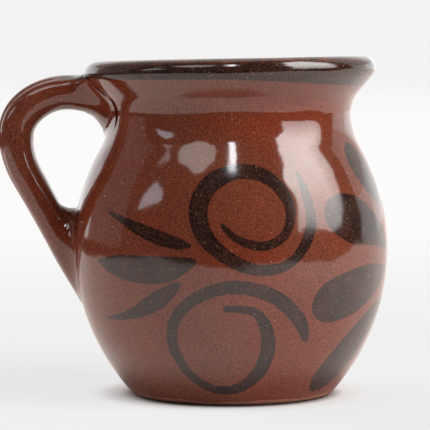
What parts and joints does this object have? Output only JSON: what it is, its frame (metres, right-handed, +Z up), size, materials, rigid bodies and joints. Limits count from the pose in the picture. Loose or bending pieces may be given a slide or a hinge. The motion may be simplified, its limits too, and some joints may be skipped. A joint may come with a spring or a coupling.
{
  "type": "jarrito clay mug",
  "caption": "Round-bellied glazed red-clay mug with a flared rim, a pulled loop handle and dark brushed spirals and leaves.",
  "frame": {"origin": "centre of the foot, on the surface that the mug stands on", "axes": "+Z up along the pot's axis, -X towards the handle, -Y towards the painted front"},
  "size_m": [0.1076, 0.087, 0.0901],
  "materials": {
    "red_clay": "red earthenware under a clear gloss glaze, bare at the foot",
    "dark_slip": "brushed dark brown slip under the same clear glaze"
  },
  "bodies": {
    "root": {"body": "red_clay", "handle": "red_clay", "upper_handle_joint": "red_clay", "lower_handle_joint": "red_clay", "rim_slip": "dark_slip", "rim_lining": "dark_slip", "upper_spiral": "dark_slip", "lower_spiral": "dark_slip", "left_top_leaf": "dark_slip", "left_middle_leaf": "dark_slip", "left_bottom_leaf": "dark_slip", "right_top_leaf": "dark_slip", "right_upper_leaf": "dark_slip", "right_lower_leaf": "dark_slip", "right_bottom_leaf": "dark_slip"}
  },
  "joints": []
}
